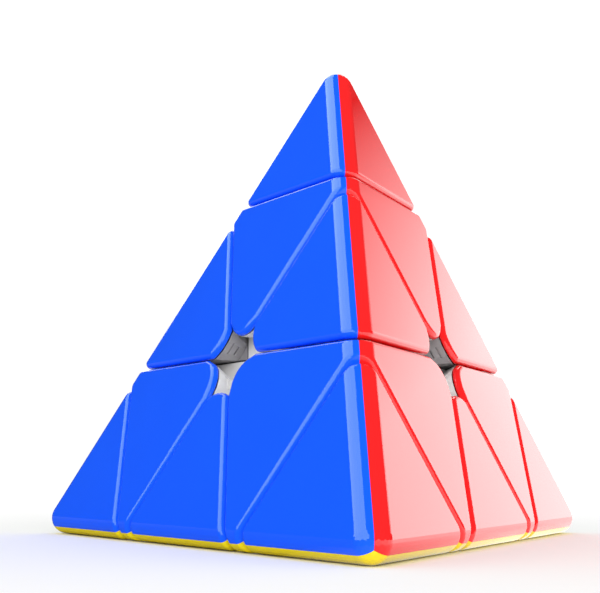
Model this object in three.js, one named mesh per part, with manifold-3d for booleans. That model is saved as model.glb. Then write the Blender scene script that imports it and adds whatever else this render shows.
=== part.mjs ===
// Pyramid twisty puzzle: a three-layer tetrahedron with four tips, four axials and six edges,
// turning on a four-armed core with sprung screws. Millimetres, +Z up, origin at the core's centre.
import * as THREE from 'three';
import { ConvexGeometry } from 'three/addons/geometries/ConvexGeometry.js';
import { mergeVertices } from 'three/addons/utils/BufferGeometryUtils.js';
import Module from 'manifold-3d';

const wasm = await Module();
wasm.setup();

// ---------- driving dimensions ----------
const EDGE = 104;                          // sharp edge of the tetrahedron, before its ridges are rounded
const INRADIUS = EDGE * Math.sqrt(6) / 12; // centre to a face
const CIRCUMRADIUS = INRADIUS * 3;         // centre to a sharp corner
const RIDGE_RADIUS = 2.8;                  // rounding of the outer ridges and corners
const TIP_CUT = 35.2;                      // centre to the cut under a tip, along that tip's axis
const LAYER_CUT = 7.3;                     // centre to the cut under a layer, along that layer's axis
const HALF_GAP = 0.15;                     // half of the gap between pieces that slide on each other

const CAP_THICKNESS = 2.6;                 // coloured plates
const CAP_FIT = 0.2;                       // gap between a plate and its carrier
const PEG_RADIUS = 1.2;
const PEG_LENGTH = 2.0;
const PEG_ROOT = 0.5;                      // length of a peg inside its plate
const PEG_SIDES = 8;
const PEG_HOLE_RADIUS = 1.5;
const PEG_HOLE_DEPTH = 2.4;
const PEG_AXIAL = 19.5;                    // face centre to each kind's peg, along the face
const PEG_EDGE = 16.5;
const PEG_TIP = 39.0;

const STAR_AXIAL = 4.2;                    // corner radius at the opening in the middle of a face
const STAR_EDGE = 5.6;
const STAR_WALL = 1.0;                     // height of a plate's wall there; behind it the plate slopes back
const STAR_SLOPE = 2;                      // run of that slope for each unit of depth
const STAR_UNDERCUT = 0.3;                 // the same for the carrier's wall, under the plate's
const STAR_REACH = 14;                     // a carrier is cut back within this far of a face's middle
const STAR_DEPTH = 5.2;                    // and as deep as this
const POCKET_DEPTH = 3.3;                  // below the face, the dimple in an axial's wall
const POCKET_SIZE = [2.2, 1.1, 2.8];       // across the corner, down the wall, into it
const SLOT_DEPTHS = [2.4, 3.7];            // below the face, the two slots in an edge's wall
const SLOT_SIZES = [[2.1, 0.3, 1.4], [1.5, 0.3, 2.4]];

const BALL_OUTER = 16.2;                   // shell in which the feet slide
const BALL_INNER = 12.6;
const FOOT_MIDDLE = 14.4;                  // a piece's block and its foot join outside this radius
const CONE_ANGLE = 69.8;                   // half angle of the layer cuts inside the ball, degrees
const CONE_GAP = 0.6;                      // half gap there, degrees

const CORE_RADIUS = 9;
const POST_RADIUS = 3.2;
const POST_TOP = 11.7;
const SCREW_RADIUS = 1.2;
const SCREW_HOLE_RADIUS = 1.5;
const SCREW_END = 3.5;                     // screws and their holes stop short of the core's centre
const SCREW_HOLE_END = 3.0;
const HEAD_RADIUS = 3.3;
const HEAD_BOTTOM = 21.8;
const HEAD_TOP = 24.2;
const SLOT_LENGTH = 3.6;                   // the cross in a screw's head
const SLOT_WIDTH = 0.8;
const SLOT_DEPTH = 1.2;
const SEAT = 14.6;                         // floor of the sprung bore in an axial
const SEAT_HOLE_RADIUS = 1.6;
const BORE_RADIUS = 3.9;
const BORE_GROOVE_RADIUS = 4.35;
const STEM_RADIUS = 3.6;
const STEM_BEAD_RADIUS = 4.1;
const STEM_END = 27;
const BEAD_AT = 29.2;                      // height of the snap bead of a tip's stem
const SPRING_RADIUS = 2.55;
const SPRING_WIRE = 0.35;
const SPRING_TURNS = 4;

const AROUND = 30;                         // facets around a turned surface that others slide on
const AROUND_SMALL = 16;                   // and around a small one
const ARC_STEP = 11.6;                     // degrees per facet along a spherical profile
const ARC_STEP_COARSE = 20;                // and where nothing slides
const SHORTEST = 0.02;                     // the booleans' slivers up to this size are taken out

// ---------- directions ----------
const DEG = Math.PI / 180;
const VERTEX = {
  top: new THREE.Vector3(0, 0, 1),
  front: new THREE.Vector3(0, -Math.sqrt(8) / 3, -1 / 3),
  left: new THREE.Vector3(-Math.sqrt(2 / 3), Math.sqrt(2) / 3, -1 / 3),
  right: new THREE.Vector3(Math.sqrt(2 / 3), Math.sqrt(2) / 3, -1 / 3),
};
const FACE_OPPOSITE = { red: 'left', blue: 'right', green: 'front', yellow: 'top' };
const COLOUR = { red: 0xf21a1c, blue: 0x0f4dff, green: 0x13b04a, yellow: 0xf5d90a };
const faceNormal = (face) => VERTEX[FACE_OPPOSITE[face]].clone().negate();
const facesAt = (vertex) => Object.keys(FACE_OPPOSITE).filter((f) => FACE_OPPOSITE[f] !== vertex);

// ---------- solids ----------
function solid(geometry) {
  geometry.deleteAttribute('normal');
  geometry.deleteAttribute('uv');
  const merged = mergeVertices(geometry, 1e-4);
  const index = merged.index.array;
  const triangles = [];
  for (let i = 0; i < index.length; i += 3) {
    const [a, b, c] = [index[i], index[i + 1], index[i + 2]];
    if (a !== b && b !== c && c !== a) triangles.push(a, b, c);
  }
  return new wasm.Manifold(new wasm.Mesh({
    numProp: 3,
    vertProperties: new Float32Array(merged.attributes.position.array),
    triVerts: new Uint32Array(triangles),
  }));
}

function geometryOf(manifold) {
  const mesh = manifold.simplify(SHORTEST).getMesh();
  const geometry = new THREE.BufferGeometry();
  geometry.setAttribute('position', new THREE.BufferAttribute(new Float32Array(mesh.vertProperties), 3));
  geometry.setIndex(new THREE.BufferAttribute(new Uint32Array(mesh.triVerts), 1));
  geometry.computeVertexNormals();
  return geometry;
}

const union = (parts) => parts.reduce((a, b) => a.add(b));
const cutAll = (body, tools) => tools.reduce((a, b) => a.subtract(b), body);

// A half space, the points x with normal . x <= limit.
const half = (normal, limit) => ({ normal, limit });
const atLeast = (normal, limit) => half(normal.clone().negate(), -limit);

function meetingPoint(a, b, c) {
  const det = a.normal.dot(b.normal.clone().cross(c.normal));
  if (Math.abs(det) < 1e-9) return null;
  return new THREE.Vector3()
    .addScaledVector(b.normal.clone().cross(c.normal), a.limit)
    .addScaledVector(c.normal.clone().cross(a.normal), b.limit)
    .addScaledVector(a.normal.clone().cross(b.normal), c.limit)
    .divideScalar(det);
}

// The convex body that all of the half spaces have in common.
function common(halves) {
  const corners = [];
  const inside = (p) => halves.every((h) => h.normal.dot(p) <= h.limit + 1e-7);
  const isNew = (p) => corners.every((q) => q.distanceTo(p) > 1e-3);
  for (let i = 0; i < halves.length; i++) {
    for (let j = i + 1; j < halves.length; j++) {
      for (let k = j + 1; k < halves.length; k++) {
        const p = meetingPoint(halves[i], halves[j], halves[k]);
        if (p && inside(p) && isNew(p)) corners.push(p);
      }
    }
  }
  return solid(new ConvexGeometry(corners));
}

// A body turned about an axis through the origin, from [radius, height along the axis] pairs.
function turned(profile, axis, around = AROUND) {
  const points = profile.map(([r, h]) => new THREE.Vector2(r, h));
  const geometry = new THREE.LatheGeometry(points, around);
  geometry.applyQuaternion(new THREE.Quaternion().setFromUnitVectors(new THREE.Vector3(0, 1, 0), axis));
  return solid(geometry);
}

function arc(radius, fromDegrees, toDegrees, step = ARC_STEP) {
  const steps = Math.round(Math.abs(toDegrees - fromDegrees) / step);
  return Array.from({ length: steps + 1 }, (_, i) => {
    const angle = (fromDegrees + (toDegrees - fromDegrees) * i / steps) * DEG;
    return [radius * Math.sin(angle), radius * Math.cos(angle)];
  });
}

// A layer's share of the ball: everything within an angle of its axis, from the centre outwards.
const sector = (axis, radius, angle) => turned([[0, 0], ...arc(radius, angle, 0)], axis);
const shellSector = (axis, inner, outer, angle) =>
  turned([...arc(inner, 0, angle, ARC_STEP_COARSE), ...arc(outer, angle, 0)], axis);
const ball = (radius) => turned(arc(radius, 180, 0, ARC_STEP_COARSE), VERTEX.top, AROUND_SMALL);

// ---------- the rounded outer shape ----------
// Half space that touches the rounded tetrahedron from outside in the direction of the normal.
function tangent(normal) {
  const n = normal.clone().normalize();
  const centres = Object.values(VERTEX).map((v) => v.clone().multiplyScalar(CIRCUMRADIUS - 3 * RIDGE_RADIUS));
  return half(n, Math.max(...centres.map((c) => n.dot(c))) + RIDGE_RADIUS);
}

const between = (a, b, t) => {
  const angle = a.angleTo(b);
  const start = a.clone().multiplyScalar(Math.sin((1 - t) * angle));
  return start.addScaledVector(b, Math.sin(t * angle)).normalize();
};

// The rounding of a face towards its neighbour, as far as the middle of their ridge.
const ridgeRounding = (face, neighbour) =>
  [1 / 6, 1 / 3, 1 / 2].map((t) => tangent(between(faceNormal(face), faceNormal(neighbour), t)));

const mitre = (face, neighbour) =>
  atLeast(faceNormal(face).sub(faceNormal(neighbour)).normalize(), HALF_GAP);

function cornerRounding(vertex) {
  const axis = VERTEX[vertex];
  const faces = facesAt(vertex).map(faceNormal);
  const ridges = faces.map((n, i) => n.clone().add(faces[(i + 1) % 3]).normalize());
  return [tangent(axis), ...[...faces, ...ridges].map((n) => tangent(between(n, axis, 0.5))),
    ...faces.map((n) => tangent(between(n, axis, 0.25)))];
}

// ---------- cuts between the pieces ----------
const inLayer = (vertex) => atLeast(VERTEX[vertex], LAYER_CUT + HALF_GAP);
const outOfLayer = (vertex) => half(VERTEX[vertex], LAYER_CUT - HALF_GAP);
const belowTip = half(VERTEX.top, TIP_CUT - HALF_GAP);
const inTip = atLeast(VERTEX.top, TIP_CUT + HALF_GAP);
const plate = (face) =>
  [half(faceNormal(face), INRADIUS), atLeast(faceNormal(face), INRADIUS - CAP_THICKNESS)];
const carrierFace = (face) => half(faceNormal(face), INRADIUS - CAP_THICKNESS - CAP_FIT);

// Unit vector in a face, pointing from the middle of the face towards the middle of a piece.
function outwards(face, towards) {
  const n = faceNormal(face);
  return towards.clone().addScaledVector(n, -towards.dot(n)).normalize();
}

// The rounded corner of a piece at the opening in the middle of its face. Past the depth given, the
// wall leans back by the slope.
function starCorner(face, towards, radius, depth = 0, slope = 0) {
  const n = faceNormal(face);
  return [-40, -20, 0, 20, 40].map((degrees) => {
    const side = outwards(face, towards).negate().applyAxisAngle(n, degrees * DEG);
    const reach = 2 * Math.cos(degrees * DEG) - 1;
    return half(side.addScaledVector(n, -slope), slope * (depth - INRADIUS) - reach * radius);
  });
}

const plateCorner = (face, towards, radius) =>
  [...starCorner(face, towards, radius), ...starCorner(face, towards, radius, STAR_WALL, STAR_SLOPE)];
const carrierTop = (face) => half(faceNormal(face), INRADIUS - STAR_WALL - CAP_FIT);

// A block under the middle of a face, so wide to each side and so deep.
function blockUnder(face, towards, reach, depth) {
  const n = faceNormal(face);
  const out = outwards(face, towards);
  const across = n.clone().cross(out);
  return [half(n, INRADIUS), atLeast(n, INRADIUS - depth), half(out, reach), atLeast(out, -reach),
    half(across, reach), atLeast(across, -reach)];
}

// The room that a plate needs in its carrier.
const plateRoom = (face, towards, radius) =>
  common([...blockUnder(face, towards, EDGE, CAP_THICKNESS + CAP_FIT),
    ...starCorner(face, towards, radius, STAR_WALL + CAP_FIT, STAR_SLOPE)]);

// What the opening in the middle of a face takes away from a carrier's corner.
function carrierOpening(face, towards, radius) {
  const room = blockUnder(face, towards, STAR_REACH, STAR_DEPTH);
  const corner = [...blockUnder(face, towards, STAR_REACH + 1, STAR_DEPTH + 1),
    ...starCorner(face, towards, radius, STAR_WALL, STAR_UNDERCUT)];
  return common(room).subtract(common(corner));
}

// A box sunk into a carrier's wall at the opening, centred on a depth below the face.
function wallBox(face, towards, radius, depth, [across, down, into]) {
  const geometry = new THREE.BoxGeometry(into, across, down);
  geometry.applyMatrix4(frameOf(towards, face));
  const middle = faceNormal(face).multiplyScalar(INRADIUS - depth)
    .addScaledVector(outwards(face, towards), radius);
  geometry.translate(middle.x, middle.y, middle.z);
  return solid(geometry);
}

function peg(face, towards, distance, radius, length) {
  const n = faceNormal(face);
  const full = length + PEG_ROOT;
  const geometry = new THREE.CylinderGeometry(radius, radius, full, PEG_SIDES);
  geometry.applyQuaternion(new THREE.Quaternion().setFromUnitVectors(new THREE.Vector3(0, 1, 0), n));
  const middle = n.clone().multiplyScalar(INRADIUS - CAP_THICKNESS + PEG_ROOT - full / 2)
    .addScaledVector(outwards(face, towards), distance);
  geometry.translate(middle.x, middle.y, middle.z);
  return solid(geometry);
}

// ---------- the pieces, each made once, at the top corner or on the ridge from top to front ----------
const ridgeMiddle = VERTEX.top.clone().add(VERTEX.front).normalize();
const hole = (face, towards, distance) =>
  peg(face, towards, distance, PEG_HOLE_RADIUS, PEG_HOLE_DEPTH + CAP_FIT);

function axialCap() {
  const body = common([...plate('blue'), belowTip, outOfLayer('left'), outOfLayer('front'),
    mitre('blue', 'red'), mitre('blue', 'green'),
    ...ridgeRounding('blue', 'red'), ...ridgeRounding('blue', 'green'),
    ...plateCorner('blue', VERTEX.top, STAR_AXIAL)]);
  return body.add(peg('blue', VERTEX.top, PEG_AXIAL, PEG_RADIUS, PEG_LENGTH));
}

function edgeCap() {
  const body = common([...plate('blue'), inLayer('top'), inLayer('front'),
    mitre('blue', 'red'), ...ridgeRounding('blue', 'red'),
    ...plateCorner('blue', ridgeMiddle, STAR_EDGE)]);
  return body.add(peg('blue', ridgeMiddle, PEG_EDGE, PEG_RADIUS, PEG_LENGTH));
}

function tipCap() {
  const body = common([...plate('blue'), inTip, mitre('blue', 'red'), mitre('blue', 'green'),
    ...ridgeRounding('blue', 'red'), ...ridgeRounding('blue', 'green'), ...cornerRounding('top')]);
  return body.add(peg('blue', VERTEX.top, PEG_TIP, PEG_RADIUS, PEG_LENGTH));
}

function axialHub() {
  const others = ['front', 'left', 'right'];
  const faces = facesAt('top');
  const block = common([inLayer('top'), belowTip, ...others.map(outOfLayer), ...faces.map(carrierTop)]);
  const foot = shellSector(VERTEX.top, BALL_INNER, BALL_OUTER - HALF_GAP, CONE_ANGLE - CONE_GAP);
  const neighbours = others.map((v) => sector(VERTEX[v], BALL_OUTER + HALF_GAP, CONE_ANGLE + CONE_GAP));
  const bore = turned([[0, 5], [SEAT_HOLE_RADIUS, 5], [SEAT_HOLE_RADIUS, SEAT], [BORE_RADIUS, SEAT],
    [BORE_RADIUS, BEAD_AT - 0.8], [BORE_GROOVE_RADIUS, BEAD_AT - 0.4], [BORE_GROOVE_RADIUS, BEAD_AT + 0.4],
    [BORE_RADIUS, BEAD_AT + 0.8], [BORE_RADIUS, TIP_CUT + 5], [0, TIP_CUT + 5]], VERTEX.top, AROUND_SMALL);
  return cutAll(block.subtract(ball(FOOT_MIDDLE)).add(foot), [...neighbours, bore,
    ...faces.map((f) => plateRoom(f, VERTEX.top, STAR_AXIAL)),
    ...faces.map((f) => carrierOpening(f, VERTEX.top, STAR_AXIAL)),
    ...faces.map((f) => wallBox(f, VERTEX.top, STAR_AXIAL, POCKET_DEPTH, POCKET_SIZE)),
    ...faces.map((f) => hole(f, VERTEX.top, PEG_AXIAL))]);
}

function edgeCarrier() {
  const faces = ['blue', 'red'];
  const block = common([inLayer('top'), inLayer('front'), ...faces.map(carrierTop)]);
  const foot = shellSector(VERTEX.top, BALL_INNER, BALL_OUTER - HALF_GAP, CONE_ANGLE - CONE_GAP)
    .intersect(sector(VERTEX.front, BALL_OUTER + 1, CONE_ANGLE - CONE_GAP));
  const slots = faces.flatMap((f) => SLOT_SIZES.map((size, i) =>
    wallBox(f, ridgeMiddle, STAR_EDGE, SLOT_DEPTHS[i], size)));
  return cutAll(block.subtract(ball(FOOT_MIDDLE)).add(foot), [...slots,
    ...faces.map((f) => plateRoom(f, ridgeMiddle, STAR_EDGE)),
    ...faces.map((f) => carrierOpening(f, ridgeMiddle, STAR_EDGE)),
    ...faces.map((f) => hole(f, ridgeMiddle, PEG_EDGE))]);
}

function tipBase() {
  const faces = facesAt('top');
  const stem = turned([[0, STEM_END], [STEM_RADIUS - 0.4, STEM_END], [STEM_RADIUS, STEM_END + 0.5],
    [STEM_RADIUS, BEAD_AT - 0.7], [STEM_BEAD_RADIUS, BEAD_AT - 0.25], [STEM_BEAD_RADIUS, BEAD_AT + 0.25],
    [STEM_RADIUS, BEAD_AT + 0.7], [STEM_RADIUS, TIP_CUT + 2], [0, TIP_CUT + 2]], VERTEX.top, AROUND_SMALL);
  const block = common([inTip, ...faces.map(carrierFace)]);
  return cutAll(block.add(stem), faces.map((f) => hole(f, VERTEX.top, PEG_TIP)));
}

function coreBody() {
  const axes = Object.values(VERTEX);
  const posts = axes.map((v) => turned([[0, 0], [POST_RADIUS, 0], [POST_RADIUS, POST_TOP - 0.4],
    [POST_RADIUS - 0.4, POST_TOP], [0, POST_TOP]], v, AROUND_SMALL));
  const holes = axes.map((v) => turned([[0, SCREW_HOLE_END - 0.4], [SCREW_HOLE_RADIUS, SCREW_HOLE_END],
    [SCREW_HOLE_RADIUS, POST_TOP + 1], [0, POST_TOP + 1]], v, AROUND_SMALL));
  return cutAll(union([ball(CORE_RADIUS), ...posts]), holes);
}

function screwBody() {
  const body = turned([[0, SCREW_END], [SCREW_RADIUS * 0.5, SCREW_END], [SCREW_RADIUS, SCREW_END + 1.2],
    [SCREW_RADIUS, HEAD_BOTTOM], [HEAD_RADIUS, HEAD_BOTTOM], [HEAD_RADIUS, HEAD_TOP - 0.8],
    [HEAD_RADIUS - 0.7, HEAD_TOP - 0.2], [HEAD_RADIUS - 1.6, HEAD_TOP], [0, HEAD_TOP]],
  VERTEX.top, AROUND_SMALL);
  const slots = [[SLOT_LENGTH, SLOT_WIDTH], [SLOT_WIDTH, SLOT_LENGTH]].map(([x, y]) => {
    const geometry = new THREE.BoxGeometry(x, y, 2 * SLOT_DEPTH);
    geometry.translate(0, 0, HEAD_TOP);
    return solid(geometry);
  });
  return cutAll(body, slots);
}

function springBody() {
  const bottom = SEAT + 0.3 + SPRING_WIRE;
  const rise = HEAD_BOTTOM - 0.3 - SPRING_WIRE - bottom;
  const steps = SPRING_TURNS * 10;
  const path = new THREE.CatmullRomCurve3(Array.from({ length: steps + 1 }, (_, i) => {
    const angle = i / steps * SPRING_TURNS * 2 * Math.PI;
    return new THREE.Vector3(SPRING_RADIUS * Math.cos(angle), SPRING_RADIUS * Math.sin(angle),
      bottom + rise * i / steps);
  }));
  const section = new THREE.Shape(Array.from({ length: 5 }, (_, i) =>
    new THREE.Vector2(SPRING_WIRE * Math.cos(i * 72 * DEG), SPRING_WIRE * Math.sin(i * 72 * DEG))));
  return solid(new THREE.ExtrudeGeometry(section, { steps, extrudePath: path }));
}

// ---------- placing ----------
// The turn of the whole tetrahedron that carries one corner and one face to another pair.
function frameOf(direction, face) {
  const z = faceNormal(face);
  const x = outwards(face, direction);
  return new THREE.Matrix4().makeBasis(x, z.clone().cross(x), z);
}

function turnTo(fromDirection, toDirection, toFace) {
  const matrix = frameOf(toDirection, toFace).multiply(frameOf(fromDirection, 'blue').transpose());
  return new THREE.Quaternion().setFromRotationMatrix(matrix);
}

const shapes = Object.fromEntries(Object.entries({
  axialCap, edgeCap, tipCap, axialHub, edgeCarrier, tipBase, coreBody, screwBody, springBody,
}).map(([name, make]) => [name, geometryOf(make())]));

const group = new THREE.Group();

function place(name, shape, look, turn = new THREE.Quaternion()) {
  const mesh = new THREE.Mesh(shapes[shape], new THREE.MeshStandardMaterial(look));
  mesh.name = name;
  mesh.quaternion.copy(turn);
  group.add(mesh);
}

const glossy = (colour) => ({ color: colour, roughness: 0.12, metalness: 0 });
const inner = (colour) => ({ color: colour, roughness: 0.4, metalness: 0 });
const steel = { color: 0xb8bcc2, roughness: 0.3, metalness: 1 };

place('core', 'coreBody', inner(0x2c2f33));
for (const vertex of Object.keys(VERTEX)) {
  const faces = facesAt(vertex);
  const turns = faces.map((f) => turnTo(VERTEX.top, VERTEX[vertex], f));
  place(`screw_${vertex}`, 'screwBody', steel, turns[0]);
  place(`spring_${vertex}`, 'springBody', steel, turns[0]);
  place(`axial_${vertex}_hub`, 'axialHub', inner(0xe9e9e6), turns[0]);
  place(`tip_${vertex}_base`, 'tipBase', inner(0xe9e9e6), turns[0]);
  faces.forEach((f, i) => {
    place(`axial_${vertex}_cap_${f}`, 'axialCap', glossy(COLOUR[f]), turns[i]);
    place(`tip_${vertex}_cap_${f}`, 'tipCap', glossy(COLOUR[f]), turns[i]);
  });
}
const ridges = [['top', 'front'], ['top', 'left'], ['top', 'right'],
  ['front', 'left'], ['front', 'right'], ['left', 'right']];
for (const [a, b] of ridges) {
  const middle = VERTEX[a].clone().add(VERTEX[b]).normalize();
  const faces = facesAt(a).filter((f) => facesAt(b).includes(f));
  const turns = faces.map((f) => turnTo(ridgeMiddle, middle, f));
  place(`edge_${a}_${b}_carrier`, 'edgeCarrier', inner(0x85838a), turns[0]);
  faces.forEach((f, i) => place(`edge_${a}_${b}_cap_${f}`, 'edgeCap', glossy(COLOUR[f]), turns[i]));
}

export default group;
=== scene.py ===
"""Pyramid twisty puzzle: coloured plates, plastics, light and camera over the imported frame."""
import itertools
import math

import bmesh
import bpy
import numpy as np
from mathutils import Matrix, Vector


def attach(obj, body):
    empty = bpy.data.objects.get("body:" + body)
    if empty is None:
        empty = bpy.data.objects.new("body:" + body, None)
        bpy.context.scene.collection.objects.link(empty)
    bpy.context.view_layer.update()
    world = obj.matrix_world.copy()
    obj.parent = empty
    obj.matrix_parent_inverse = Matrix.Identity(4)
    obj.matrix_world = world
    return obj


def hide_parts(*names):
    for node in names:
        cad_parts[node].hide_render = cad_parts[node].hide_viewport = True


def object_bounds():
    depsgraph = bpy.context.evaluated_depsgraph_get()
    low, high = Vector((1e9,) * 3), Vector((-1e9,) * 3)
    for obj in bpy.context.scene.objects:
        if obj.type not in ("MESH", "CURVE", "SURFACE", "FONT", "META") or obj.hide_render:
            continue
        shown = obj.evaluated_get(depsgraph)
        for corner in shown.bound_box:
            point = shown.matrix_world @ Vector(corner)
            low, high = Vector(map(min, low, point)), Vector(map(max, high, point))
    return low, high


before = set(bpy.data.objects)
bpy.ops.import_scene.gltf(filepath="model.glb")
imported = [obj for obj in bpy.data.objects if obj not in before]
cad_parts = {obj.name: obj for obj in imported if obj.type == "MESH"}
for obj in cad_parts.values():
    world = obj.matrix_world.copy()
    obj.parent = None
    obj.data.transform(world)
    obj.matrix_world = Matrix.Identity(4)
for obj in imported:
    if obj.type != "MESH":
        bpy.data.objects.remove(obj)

CAD_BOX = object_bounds()

# ---------- shape of the coloured plates, in millimetres, as in the CAD ----------
EDGE = 104.0
INRADIUS = EDGE * math.sqrt(6) / 12
CIRCUMRADIUS = 3 * INRADIUS
RIDGE_RADIUS = 2.8
TIP_CUT = 35.2
LAYER_CUT = 7.3
HALF_GAP = 0.15
CAP_THICKNESS = 2.6
STAR_RADIUS = {"axial": 4.2, "edge": 5.6}
STAR_WALL = 1.0
STAR_SLOPE = 2.0
FILLET = 0.9  # rounding of a plate's rim
MITRE_GAP = 0.01  # half of the seam between two plates of one piece
GUARD = 6.0  # depth below the face at which a plate's rounded blank ends
RIDGE_STEPS = 12
FILLET_STEP = 11.0  # degrees
STAR_TURNS = (-40, -30, -20, -10, 0, 10, 20, 30, 40)
LEAST_DET = 1e-7  # planes closer to parallel than this meet in no clear point
SLACK = 1e-6  # how far outside a half space a corner point may lie
TOUCH = 1e-4  # points and planes closer than this are one
CUT_SLACK = 1e-5
MM = 0.001

VERTEX = {
    "top": np.array([0, 0, 1.0]),
    "front": np.array([0, -math.sqrt(8) / 3, -1 / 3]),
    "left": np.array([-math.sqrt(2 / 3), math.sqrt(2) / 3, -1 / 3]),
    "right": np.array([math.sqrt(2 / 3), math.sqrt(2) / 3, -1 / 3]),
}
OPPOSITE = {"red": "left", "blue": "right", "green": "front", "yellow": "top"}
NORMAL = {face: -VERTEX[vertex] for face, vertex in OPPOSITE.items()}
RIDGE_MIDDLE = (VERTEX["top"] + VERTEX["front"]) / np.linalg.norm(VERTEX["top"] + VERTEX["front"])


def unit(vector):
    return vector / np.linalg.norm(vector)


def at_most(normal, limit):
    """The half space normal . x <= limit, as a unit normal and its limit."""
    length = np.linalg.norm(normal)
    return normal / length, limit / length


def at_least(normal, limit):
    return at_most(-normal, -limit)


def tangent(direction):
    """The half space that touches the rounded tetrahedron in that direction."""
    normal = unit(direction)
    reach = max(normal @ vertex for vertex in VERTEX.values())
    return normal, (CIRCUMRADIUS - 3 * RIDGE_RADIUS) * reach + RIDGE_RADIUS


def shares(count, steps):
    """Every way to share that many steps between count parts, as fractions."""
    grid = itertools.product(range(steps + 1), repeat=count)
    return np.array([row for row in grid if sum(row) == steps]) / steps


def rounding(*faces):
    """Half spaces that touch the ridge between two faces, or the corner where three meet."""
    normals = np.array([NORMAL[face] for face in faces])
    return [tangent(weights @ normals) for weights in shares(len(faces), RIDGE_STEPS)]


def outwards(face, towards):
    normal = NORMAL[face]
    return unit(towards - (towards @ normal) * normal)


def star_corner(face, towards, radius, depth=0.0, slope=0.0):
    """The rounded corner at the opening in the middle of a face, leaning back past a depth."""
    normal = NORMAL[face]
    inwards = -outwards(face, towards)
    across = np.cross(normal, inwards)
    halves = []
    for degrees in STAR_TURNS:
        angle = math.radians(degrees)
        side = math.cos(angle) * inwards + math.sin(angle) * across
        reach = 2 * math.cos(angle) - 1
        halves.append(at_most(side - slope * normal, slope * (depth - INRADIUS) - reach * radius))
    return halves


def corners(halves):
    """Corner points of the body that the half spaces share, and the half spaces met at each."""
    normals = np.array([h[0] for h in halves])
    limits = np.array([h[1] for h in halves])
    triples = np.array(list(itertools.combinations(range(len(halves)), 3)))
    a, b, c = (normals[triples[:, i]] for i in range(3))
    bc, ca, ab = np.cross(b, c), np.cross(c, a), np.cross(a, b)
    det = np.einsum("ij,ij->i", a, bc)
    good = abs(det) > LEAST_DET
    weights = limits[triples[good]]
    points = bc[good] * weights[:, :1] + ca[good] * weights[:, 1:2] + ab[good] * weights[:, 2:]
    points /= det[good, None]
    inside = (points @ normals.T <= limits + SLACK).all(axis=1)
    points = np.unique(points[inside].round(5), axis=0)
    meets = abs(points @ normals.T - limits) < TOUCH
    return [(point, normals[row]) for point, row in zip(points, meets)]


def fan(normals):
    """Directions that fill the span of the normals that meet at one corner."""
    found = []
    for three in itertools.combinations(normals, 3):
        closest = min(one @ other for one, other in itertools.combinations(three, 2))
        widest = math.degrees(math.acos(max(-1.0, closest)))
        steps = max(1, math.ceil(widest / FILLET_STEP))
        found.extend(unit(weights @ np.array(three)) for weights in shares(3, steps))
    return np.unique(np.round(found, 6), axis=0)


def rounded_blank(halves, radius):
    """A convex body with its edges rounded, as a bmesh whose vertices keep their true normals."""
    shrunk = [(normal, limit - radius) for normal, limit in halves]
    body = bmesh.new()
    facing = body.verts.layers.float_vector.new("facing")
    for point, normals in corners(shrunk):
        for direction in fan(normals):
            vert = body.verts.new(point + radius * direction)
            vert[facing] = direction
    bmesh.ops.remove_doubles(body, verts=body.verts, dist=TOUCH)
    hull = bmesh.ops.convex_hull(body, input=body.verts)
    left_over = set(hull["geom_interior"] + hull["geom_unused"])
    spare = [item for item in left_over if isinstance(item, bmesh.types.BMVert)]
    bmesh.ops.delete(body, geom=spare, context="VERTS")
    for face in body.faces:
        face.smooth = True
    return body


def trim(body, half):
    """Cuts away what lies outside a half space, and closes the cut with a flat face."""
    normal, limit = half
    everything = body.verts[:] + body.edges[:] + body.faces[:]
    cut = bmesh.ops.bisect_plane(
        body,
        geom=everything,
        dist=CUT_SLACK,
        plane_co=normal * limit,
        plane_no=normal,
        clear_outer=True,
    )
    rim = [item for item in cut["geom_cut"] if isinstance(item, bmesh.types.BMEdge)]
    if rim:
        for face in bmesh.ops.edgeloop_fill(body, edges=rim)["faces"]:
            face.smooth = False


def finished_mesh(name, body):
    facing = body.verts.layers.float_vector["facing"]
    bmesh.ops.recalc_face_normals(body, faces=body.faces)
    normals = [vert[facing].normalized() for vert in body.verts]
    mesh = bpy.data.meshes.new(name)
    body.to_mesh(mesh)
    body.free()
    mesh.attributes.remove(mesh.attributes["facing"])
    mesh.transform(Matrix.Scale(MM, 4))
    split = []
    for face in mesh.polygons:
        for vertex in face.vertices:
            split.append(normals[vertex] if face.use_smooth else face.normal)
    mesh.normals_split_custom_set(split)
    return mesh


def plate_mesh(kind, blank, neighbours, towards):
    """A plate of the blue face: its rounded blank, cut at the seams, the star and the back."""
    normal = NORMAL["blue"]
    body = rounded_blank(blank + [at_least(normal, INRADIUS - GUARD)], FILLET)
    for face in neighbours:
        trim(body, at_least(normal - NORMAL[face], MITRE_GAP))
    trim(body, at_least(normal, INRADIUS - CAP_THICKNESS))
    if kind in STAR_RADIUS:
        for half in star_corner("blue", towards, STAR_RADIUS[kind], STAR_WALL, STAR_SLOPE):
            trim(body, half)
    return finished_mesh(f"{kind}_plate", body)


def out_of_layer(vertex):
    return at_most(VERTEX[vertex], LAYER_CUT - HALF_GAP)


def in_layer(vertex):
    return at_least(VERTEX[vertex], LAYER_CUT + HALF_GAP)


def axial_plate():
    blank = rounding("blue", "red") + rounding("blue", "green")
    blank += [at_most(VERTEX["top"], TIP_CUT - HALF_GAP)]
    blank += [out_of_layer("left"), out_of_layer("front")]
    blank += star_corner("blue", VERTEX["top"], STAR_RADIUS["axial"])
    return plate_mesh("axial", blank, ["red", "green"], VERTEX["top"])


def edge_plate():
    blank = rounding("blue", "red") + [in_layer("top"), in_layer("front")]
    blank += star_corner("blue", RIDGE_MIDDLE, STAR_RADIUS["edge"])
    return plate_mesh("edge", blank, ["red"], RIDGE_MIDDLE)


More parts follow.
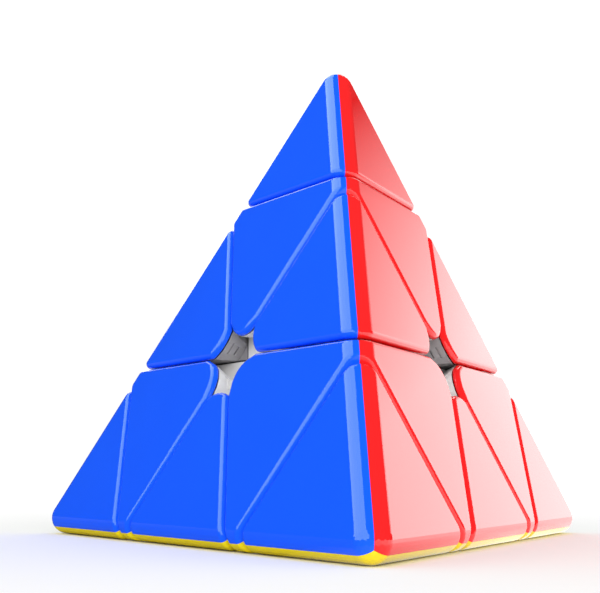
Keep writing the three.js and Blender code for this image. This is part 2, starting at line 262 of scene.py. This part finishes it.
def tip_plate():
    blank = rounding("blue", "red", "green") + [at_least(VERTEX["top"], TIP_CUT + HALF_GAP)]
    return plate_mesh("tip", blank, ["red", "green"], VERTEX["top"])


def frame_of(direction, face):
    z = NORMAL[face]
    x = outwards(face, direction)
    return np.column_stack([x, np.cross(z, x), z])


def turn_to(start, direction, face):
    """The turn that carries a corner or ridge of the blue face to another one of any face."""
    turn = frame_of(direction, face) @ frame_of(start, "blue").T
    return Matrix(turn.tolist()).to_4x4()


# ---------- materials ----------
PLASTIC = {
    "red": ((0.84, 0.0175, 0.018), (0.79, 0.0145, 0.0155)),
    "blue": ((0.007, 0.108, 0.98), (0.006, 0.100, 0.94)),
    "green": ((0.008, 0.42, 0.075), (0.007, 0.38, 0.066)),
    "yellow": ((0.88, 0.70, 0.012), (0.83, 0.65, 0.010)),
}
INNER_PLASTIC = {  # light and deep tone, least and most roughness
    "white_inner_plastic": ((0.91, 0.90, 0.885), (0.87, 0.86, 0.845), 0.30, 0.42),
    # painted shade: a grey copy of the white inner plastic, standing in for the shade on the
    # carriers
    "grey_inner_plastic": ((0.35, 0.337, 0.345), (0.315, 0.303, 0.31), 0.34, 0.48),
    "dark_core_plastic": ((0.030, 0.032, 0.036), (0.022, 0.024, 0.027), 0.40, 0.55),
}
STEEL = ((0.62, 0.64, 0.67), (0.48, 0.50, 0.53))
INSIDE_LOOK = {
    "hub": "white_inner_plastic",
    "base": "white_inner_plastic",
    # painted shade: the carriers get the grey copy of the white plastic
    "carrier": "grey_inner_plastic",
    "core": "dark_core_plastic",
    "screw": "plated_steel",
    "spring": "plated_steel",
}


class Nodes:
    """A material and a short way to add nodes to it."""

    def __init__(self, name):
        self.material = bpy.data.materials.new(name)
        self.material.use_nodes = True
        self.tree = self.material.node_tree
        self.shader = self.tree.nodes["Principled BSDF"]
        self.place = self.tree.nodes.new("ShaderNodeTexCoord").outputs["Object"]

    def add(self, kind, inputs=(), **settings):
        node = self.tree.nodes.new(kind)
        for name, value in settings.items():
            setattr(node, name, value)
        for socket, value in dict(inputs).items():
            if isinstance(value, bpy.types.NodeSocket):
                self.tree.links.new(value, node.inputs[socket])
            else:
                node.inputs[socket].default_value = value
        return node

    def noise(self, scale, detail=2.0, roughness=0.5):
        inputs = {"Vector": self.place, "Scale": scale, "Detail": detail, "Roughness": roughness}
        return self.add("ShaderNodeTexNoise", inputs).outputs["Fac"]

    def spread(self, value, low, high, start=0.0, end=1.0):
        inputs = {"Value": value, "From Min": start, "From Max": end, "To Min": low, "To Max": high}
        return self.add("ShaderNodeMapRange", inputs).outputs["Result"]

    def math(self, operation, first, second):
        node = self.add("ShaderNodeMath", {0: first, 1: second}, operation=operation)
        return node.outputs["Value"]

    def mix(self, factor, first, second):
        node = self.add("ShaderNodeMix", data_type="RGBA")
        self.tree.links.new(factor, node.inputs["Factor"])
        node.inputs["A"].default_value = (*first, 1)
        node.inputs["B"].default_value = (*second, 1)
        return node.outputs["Result"]

    def bump(self, height, strength, distance, under=None):
        inputs = {"Height": height, "Strength": strength, "Distance": distance}
        if under is not None:
            inputs["Normal"] = under
        return self.add("ShaderNodeBump", inputs).outputs["Normal"]

    def drive(self, **sockets):
        for name, value in sockets.items():
            socket = self.shader.inputs[name.replace("_", " ").title().replace("Ior", "IOR")]
            if isinstance(value, bpy.types.NodeSocket):
                self.tree.links.new(value, socket)
            else:
                socket.default_value = value


def gloss_plastic(name, light, deep):
    """Polished moulded plastic: faint flow mottling, a trace of orange peel, uneven gloss."""
    nodes = Nodes(name)
    flow = nodes.noise(90, 3)
    smudges = nodes.noise(160, 4, 0.6)
    peel = nodes.bump(nodes.noise(700, 1), 0.05, 0.00004)
    grain = nodes.bump(nodes.noise(6000, 2), 0.03, 0.000005, peel)
    nodes.drive(base_color=nodes.mix(flow, light, deep))
    nodes.drive(roughness=nodes.spread(smudges, 0.03, 0.06), normal=grain)
    nodes.drive(ior=1.5)
    return nodes.material


def inner_plastic(name, light, deep, low, high):
    """Unpolished moulded plastic: satin, with a fine spark-eroded grain."""
    nodes = Nodes(name)
    flow = nodes.noise(220, 4, 0.6)
    grain = nodes.bump(nodes.noise(5200, 3, 0.7), 0.25, 0.00002)
    nodes.drive(base_color=nodes.mix(flow, light, deep), normal=grain)
    nodes.drive(roughness=nodes.spread(nodes.noise(900, 2), low, high))
    return nodes.material


def bright_steel(name):
    """Zinc-plated steel: fine turning marks, cloudy plating."""
    nodes = Nodes(name)
    cloud = nodes.noise(1200, 4, 0.6)
    marks = nodes.bump(nodes.noise(9000, 2), 0.2, 0.00001)
    nodes.drive(base_color=nodes.mix(cloud, *STEEL), normal=marks)
    nodes.drive(roughness=nodes.spread(cloud, 0.22, 0.38), metallic=1.0)
    return nodes.material


def finish_cad_nodes():
    finishes = {name: inner_plastic(name, *look) for name, look in INNER_PLASTIC.items()}
    finishes["plated_steel"] = bright_steel("plated_steel")
    for name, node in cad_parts.items():
        words = name.split("_")
        look = INSIDE_LOOK.get(words[0]) or INSIDE_LOOK.get(words[-1])
        if look:
            for slot in node.material_slots:
                slot.material = finishes[look]


# ---------- plates on their bodies ----------
def place_plates():
    shapes = {"axial": axial_plate(), "edge": edge_plate(), "tip": tip_plate()}
    gloss = {}
    for colour, tones in PLASTIC.items():
        gloss[colour] = gloss_plastic(f"{colour}_gloss_plastic", *tones)
    for node in sorted(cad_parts):
        words = node.split("_")
        if "cap" in words:
            place_plate(node, words, shapes[words[0]], gloss[words[-1]])


def place_plate(node, words, shape, material):
    kind, colour, vertices = words[0], words[-1], words[1:words.index("cap")]
    start = RIDGE_MIDDLE if kind == "edge" else VERTEX["top"]
    towards = sum(VERTEX[vertex] for vertex in vertices)
    mesh = shape.copy()
    mesh.transform(turn_to(start, towards, colour))
    mesh.materials.append(material)
    plate = bpy.data.objects.new(f"{'_'.join(words[:-2])}_plate_{colour}", mesh)
    bpy.context.scene.collection.objects.link(plate)
    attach(plate, "_".join([kind, *vertices]))
    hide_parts(node)


# ---------- camera ----------
AZIMUTH = math.radians(-6.93)
ELEVATION = math.radians(-11.73)
ROLL = math.radians(0.31)
DISTANCE = 1.8942 * EDGE * MM
TARGET = Vector((0.0568, 0, 0.2808)) * EDGE * MM
LENS = 69.0
SHIFT = (-0.1155, -0.0998)
SENSOR_WIDTH = 36
CLIP_START = 0.01


def add_camera():
    data = bpy.data.cameras.new("camera")
    data.lens = LENS
    data.sensor_width = SENSOR_WIDTH
    data.shift_x, data.shift_y = SHIFT
    data.clip_start = CLIP_START
    camera = bpy.data.objects.new("camera", data)
    bpy.context.scene.collection.objects.link(camera)
    level = math.cos(ELEVATION)
    back = Vector((math.sin(AZIMUTH) * level, -math.cos(AZIMUTH) * level, math.sin(ELEVATION)))
    turn = back.to_track_quat("Z", "Y").to_matrix().to_4x4()
    place = Matrix.Translation(TARGET + DISTANCE * back)
    camera.matrix_world = place @ turn @ Matrix.Rotation(ROLL, 4, "Z")
    bpy.context.scene.camera = camera


# ---------- floor and light ----------
RIDGE_LINE = Vector(VERTEX["top"] - VERTEX["front"]).normalized()
RIDGE_OUT = Vector(unit(NORMAL["blue"] + NORMAL["red"]))

FLOOR_Z = CAD_BOX[0][2] - 0.0001
FLOOR_HALF = 6.0
FLOOR_ROUGHNESS = 0.6
FLOOR_TONE = (0.97, 0.97, 0.965)
FLOOR_PAINTED_DARK_IN_GLOSS = (0.14, 0.14, 0.14)  # painted reflection: the dark colour that gloss rays see on the floor's left
BLEND_FROM, BLEND_TO = -0.01, 0.03  # along x, where the floor's left side turns into its right
GLOW_FROM, GLOW_TO = 0.08, 0.26  # distances over which the floor starts to glow
FLOOR_GLOW = 0.18

WORLD_SEEN = 1.05  # strength of the backdrop to the camera, to diffuse rays and in gloss
WORLD_DIFFUSE = 0.90
WORLD_IN_GLOSS = 0.05

LEFT_FROM, LEFT_TO = -95.0, -24.0  # degrees round the front ridge
LEFT_DISTANCE = 0.45
LEFT_ALONG = 0.48
LEFT_LENGTH = 1.5
LEFT_STRENGTH = 3.4
LEFT_COLOUR = (0.74, 1.0, 1.15)

RIGHT_NEAR = Vector((0.62, 0.30, 0.21))
RIGHT_FAR = Vector((0.16, 0.92, 0.21))
RIGHT_HEIGHT = 0.48
RIGHT_STRENGTH = 3.1
RIGHT_FADE = 0.52  # share of its height over which it fades out
RIGHT_SOFT = 0.12  # share of its width over which its near edge comes up
RIGHT_FAR_SHARE = 0.45

BACK_CENTRE = Vector((0, 0.70, 0.50))
BACK_UP = Vector((0, -0.5, 1)).normalized()
BACK_WIDTH, BACK_HEIGHT = 0.76, 0.70
BACK_STRENGTH = 2.6

FILL_PLACE = Vector((0.05, -1.2, 0.10))
FILL_SIZE = 0.8
FILL_WATTS = 12


def floor_finish():
    """Near-white, with painted light: it glows a little far out, and to gloss rays it shows a
    painted dark reflection on its left and glows white on its right.
    """
    nodes = Nodes("pale_floor")
    gloss = nodes.add("ShaderNodeLightPath").outputs["Is Glossy Ray"]
    sideways = nodes.add("ShaderNodeSeparateXYZ", {"Vector": nodes.place}).outputs["X"]
    left = nodes.spread(sideways, 0.0, 1.0, BLEND_TO, BLEND_FROM)
    right = nodes.spread(sideways, 0.0, 1.0, BLEND_FROM, BLEND_TO)
    # painted reflection: gloss rays see the floor's left in a dark colour and its right glowing
    # white
    dark = nodes.math("MULTIPLY", gloss, left)
    lit = nodes.math("MULTIPLY", gloss, right)
    reach = nodes.add("ShaderNodeVectorMath", {0: nodes.place}, operation="LENGTH").outputs["Value"]
    far = nodes.spread(reach, 0.0, FLOOR_GLOW, GLOW_FROM, GLOW_TO)
    nodes.drive(base_color=nodes.mix(dark, FLOOR_TONE, FLOOR_PAINTED_DARK_IN_GLOSS))
    nodes.drive(roughness=FLOOR_ROUGHNESS, specular_ior_level=0.0)
    nodes.drive(emission_color=(1, 1, 1, 1), emission_strength=nodes.math("ADD", lit, far))
    return nodes.material


def add_floor():
    half = FLOOR_HALF
    ring = [(-half, -half), (half, -half), (half, half), (-half, half)]
    mesh = bpy.data.meshes.new("floor")
    mesh.from_pydata([(x, y, FLOOR_Z) for x, y in ring], [], [(0, 1, 2, 3)])
    mesh.materials.append(floor_finish())
    floor = bpy.data.objects.new("floor", mesh)
    bpy.context.scene.collection.objects.link(floor)


def add_world():
    """White behind the object, dim in its gloss, so that the softboxes shape the highlights."""
    world = bpy.data.worlds.new("studio")
    world.use_nodes = True
    bpy.context.scene.world = world
    tree = world.node_tree
    background = tree.nodes["Background"]
    background.inputs["Color"].default_value = (1, 1, 1, 1)
    rays = tree.nodes.new("ShaderNodeLightPath")
    unseen = tree.nodes.new("ShaderNodeMapRange")
    unseen.inputs["To Min"].default_value = WORLD_DIFFUSE
    unseen.inputs["To Max"].default_value = WORLD_IN_GLOSS
    strength = tree.nodes.new("ShaderNodeMix")
    strength.data_type = "FLOAT"
    tree.links.new(rays.outputs["Is Glossy Ray"], unseen.inputs["Value"])
    tree.links.new(rays.outputs["Is Camera Ray"], strength.inputs["Factor"])
    tree.links.new(unseen.outputs["Result"], strength.inputs["A"])
    strength.inputs["B"].default_value = WORLD_SEEN
    tree.links.new(strength.outputs["Result"], background.inputs["Strength"])


def glow_material(name, strength, colour):
    material = bpy.data.materials.new(name)
    material.use_nodes = True
    tree = material.node_tree
    tree.nodes.clear()
    glow = tree.nodes.new("ShaderNodeEmission")
    glow.inputs["Strength"].default_value = strength
    glow.inputs["Color"].default_value = (*colour, 1)
    output = tree.nodes.new("ShaderNodeOutputMaterial")
    tree.links.new(glow.outputs["Emission"], output.inputs["Surface"])
    return material


def fade_glow(material, strength, fade, soft, far_share):
    """Fades a softbox out at its top, softens its near edge and dims it towards its far one."""
    tree = material.node_tree
    place = tree.nodes.new("ShaderNodeTexCoord")
    parts = tree.nodes.new("ShaderNodeSeparateXYZ")
    up = tree.nodes.new("ShaderNodeMapRange")
    up.inputs["From Min"].default_value = 1 - fade
    up.inputs["To Min"].default_value = strength
    up.inputs["To Max"].default_value = 0.0
    across = tree.nodes.new("ShaderNodeValToRGB")
    across.color_ramp.elements[0].color = (0, 0, 0, 1)
    across.color_ramp.elements[1].color = (far_share, far_share, far_share, 1)
    across.color_ramp.elements.new(soft).color = (1, 1, 1, 1)
    both = tree.nodes.new("ShaderNodeMath")
    both.operation = "MULTIPLY"
    tree.links.new(place.outputs["UV"], parts.inputs["Vector"])
    tree.links.new(parts.outputs["X"], across.inputs["Fac"])
    tree.links.new(parts.outputs["Y"], up.inputs["Value"])
    tree.links.new(up.outputs["Result"], both.inputs[0])
    tree.links.new(across.outputs["Color"], both.inputs[1])
    tree.links.new(both.outputs["Value"], tree.nodes["Emission"].inputs["Strength"])


def add_softbox(centre, across, up, material):
    """A glowing rectangle that only reflections show."""
    ring = [centre - across / 2 - up / 2, centre + across / 2 - up / 2,
            centre + across / 2 + up / 2, centre - across / 2 + up / 2]
    mesh = bpy.data.meshes.new(material.name)
    mesh.from_pydata([tuple(point) for point in ring], [], [(0, 1, 2, 3)])
    mesh.uv_layers.new(name="uv").data.foreach_set("uv", [0, 0, 1, 0, 1, 1, 0, 1])
    mesh.materials.append(material)
    softbox = bpy.data.objects.new(material.name, mesh)
    bpy.context.scene.collection.objects.link(softbox)
    softbox.visible_camera = False
    softbox.visible_shadow = False
    softbox.visible_diffuse = False


def around_ridge(degrees):
    """A point of the left softbox's middle line, so many degrees round the front ridge."""
    angle = math.radians(degrees)
    foot = Vector(VERTEX["front"]) * CIRCUMRADIUS * MM
    out = math.cos(angle) * RIDGE_OUT + math.sin(angle) * Vector((1, 0, 0))
    return foot + RIDGE_LINE * LEFT_ALONG + out * LEFT_DISTANCE


def add_left_softbox():
    """Lights the right-facing roundings of the blue plates and just misses their flats."""
    start = around_ridge(LEFT_FROM)
    end = around_ridge(LEFT_TO)
    glow = glow_material("left_softbox", LEFT_STRENGTH, LEFT_COLOUR)
    add_softbox((start + end) / 2, end - start, RIDGE_LINE * LEFT_LENGTH, glow)


def add_right_softbox():
    """Washes over the red face, from nothing at the top to pale pink at the bottom."""
    glow = glow_material("right_softbox", RIGHT_STRENGTH, (1, 1, 1))
    fade_glow(glow, RIGHT_STRENGTH, RIGHT_FADE, RIGHT_SOFT, RIGHT_FAR_SHARE)
    middle = (RIGHT_NEAR + RIGHT_FAR) / 2
    add_softbox(middle, RIGHT_FAR - RIGHT_NEAR, Vector((0, 0, RIGHT_HEIGHT)), glow)


def add_back_softbox():
    """Draws thin lines of light on the upper rims and along the left silhouette."""
    glow = glow_material("back_softbox", BACK_STRENGTH, (1, 1, 1))
    add_softbox(BACK_CENTRE, Vector((BACK_WIDTH, 0, 0)), BACK_UP * BACK_HEIGHT, glow)


def add_front_fill():
    """Low light from the front that no gloss shows."""
    fill = bpy.data.lights.new("front_fill", "AREA")
    fill.shape = "DISK"
    fill.size = FILL_SIZE
    fill.energy = FILL_WATTS
    lamp = bpy.data.objects.new("front_fill", fill)
    lamp.location = FILL_PLACE
    lamp.rotation_euler = FILL_PLACE.to_track_quat("Z", "Y").to_euler()
    lamp.visible_glossy = False
    lamp.visible_camera = False
    bpy.context.scene.collection.objects.link(lamp)


finish_cad_nodes()
place_plates()
add_camera()
add_floor()
add_world()
add_left_softbox()
add_right_softbox()
add_back_softbox()
add_front_fill()
bpy.context.scene.view_settings.view_transform = "Standard"
